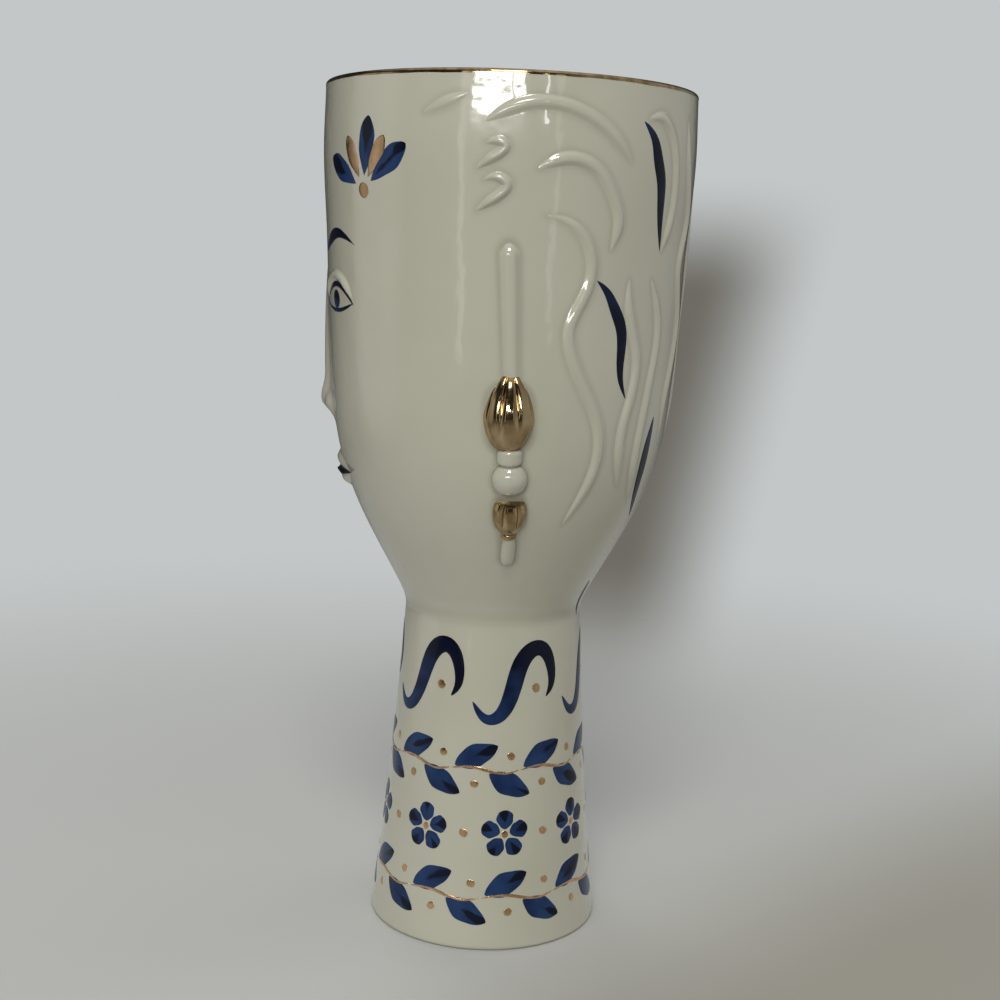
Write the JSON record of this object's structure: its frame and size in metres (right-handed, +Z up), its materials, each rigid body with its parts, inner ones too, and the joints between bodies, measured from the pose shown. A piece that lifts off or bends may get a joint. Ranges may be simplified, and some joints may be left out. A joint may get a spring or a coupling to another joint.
{
  "type": "face vase",
  "caption": "Tall glazed ceramic vase shaped as a head on a flared neck, open at the top, with hair, face and gilded earrings in low relief.",
  "frame": {"origin": "middle of the foot's underside, on the surface that the vase stands on", "axes": "+Z up to the rim, -Y out of the face, +X out of the head's left ear"},
  "size_m": [0.1386, 0.1358, 0.31],
  "materials": {
    "ivory_glaze": "clear gloss over warm ivory clay",
    "gold_lustre": "fired gold lustre, mirror bright, over glazed ceramic",
    "cobalt_paint": "cobalt brushwork under the clear gloss, from pale grey-blue to near-black navy"
  },
  "bodies": {
    "root": {"earring_bar_left": "ivory_glaze", "earring_bar_right": "ivory_glaze", "earring_bud_left": "gold_lustre", "earring_bud_right": "gold_lustre", "earring_collar_left": "ivory_glaze", "earring_collar_right": "ivory_glaze", "earring_cup_left": "gold_lustre", "earring_cup_right": "gold_lustre", "earring_drop_left": "ivory_glaze", "earring_drop_right": "ivory_glaze", "earring_pearl_left": "ivory_glaze", "earring_pearl_right": "ivory_glaze", "earring_ring_left": "gold_lustre", "earring_ring_right": "gold_lustre", "eyelid_left": "ivory_glaze", "eyelid_right": "ivory_glaze", "hair_back_lock": "ivory_glaze", "hair_crown_arc_left": "ivory_glaze", "hair_crown_arc_right": "ivory_glaze", "hair_crown_lock_left": "ivory_glaze", "hair_crown_lock_right": "ivory_glaze", "hair_ear_lock_left": "ivory_glaze", "hair_ear_lock_right": "ivory_glaze", "hair_fringe_left": "ivory_glaze", "hair_fringe_right": "ivory_glaze", "hair_lower_curl_left": "ivory_glaze", "hair_lower_curl_right": "ivory_glaze", "hair_nape_lock_left": "ivory_glaze", "hair_nape_lock_right": "ivory_glaze", "hair_rear_lock_left": "ivory_glaze", "hair_rear_lock_right": "ivory_glaze", "hair_side_lock_left": "ivory_glaze", "hair_side_lock_right": "ivory_glaze", "hair_temple_arc_left": "ivory_glaze", "hair_temple_arc_right": "ivory_glaze", "hair_upper_curl_left": "ivory_glaze", "hair_upper_curl_right": "ivory_glaze", "head_shell": "ivory_glaze", "lower_lip": "ivory_glaze", "neck_shell": "ivory_glaze", "nose": "ivory_glaze", "rim_band": "gold_lustre", "upper_lip": "ivory_glaze"}
  },
  "joints": []
}
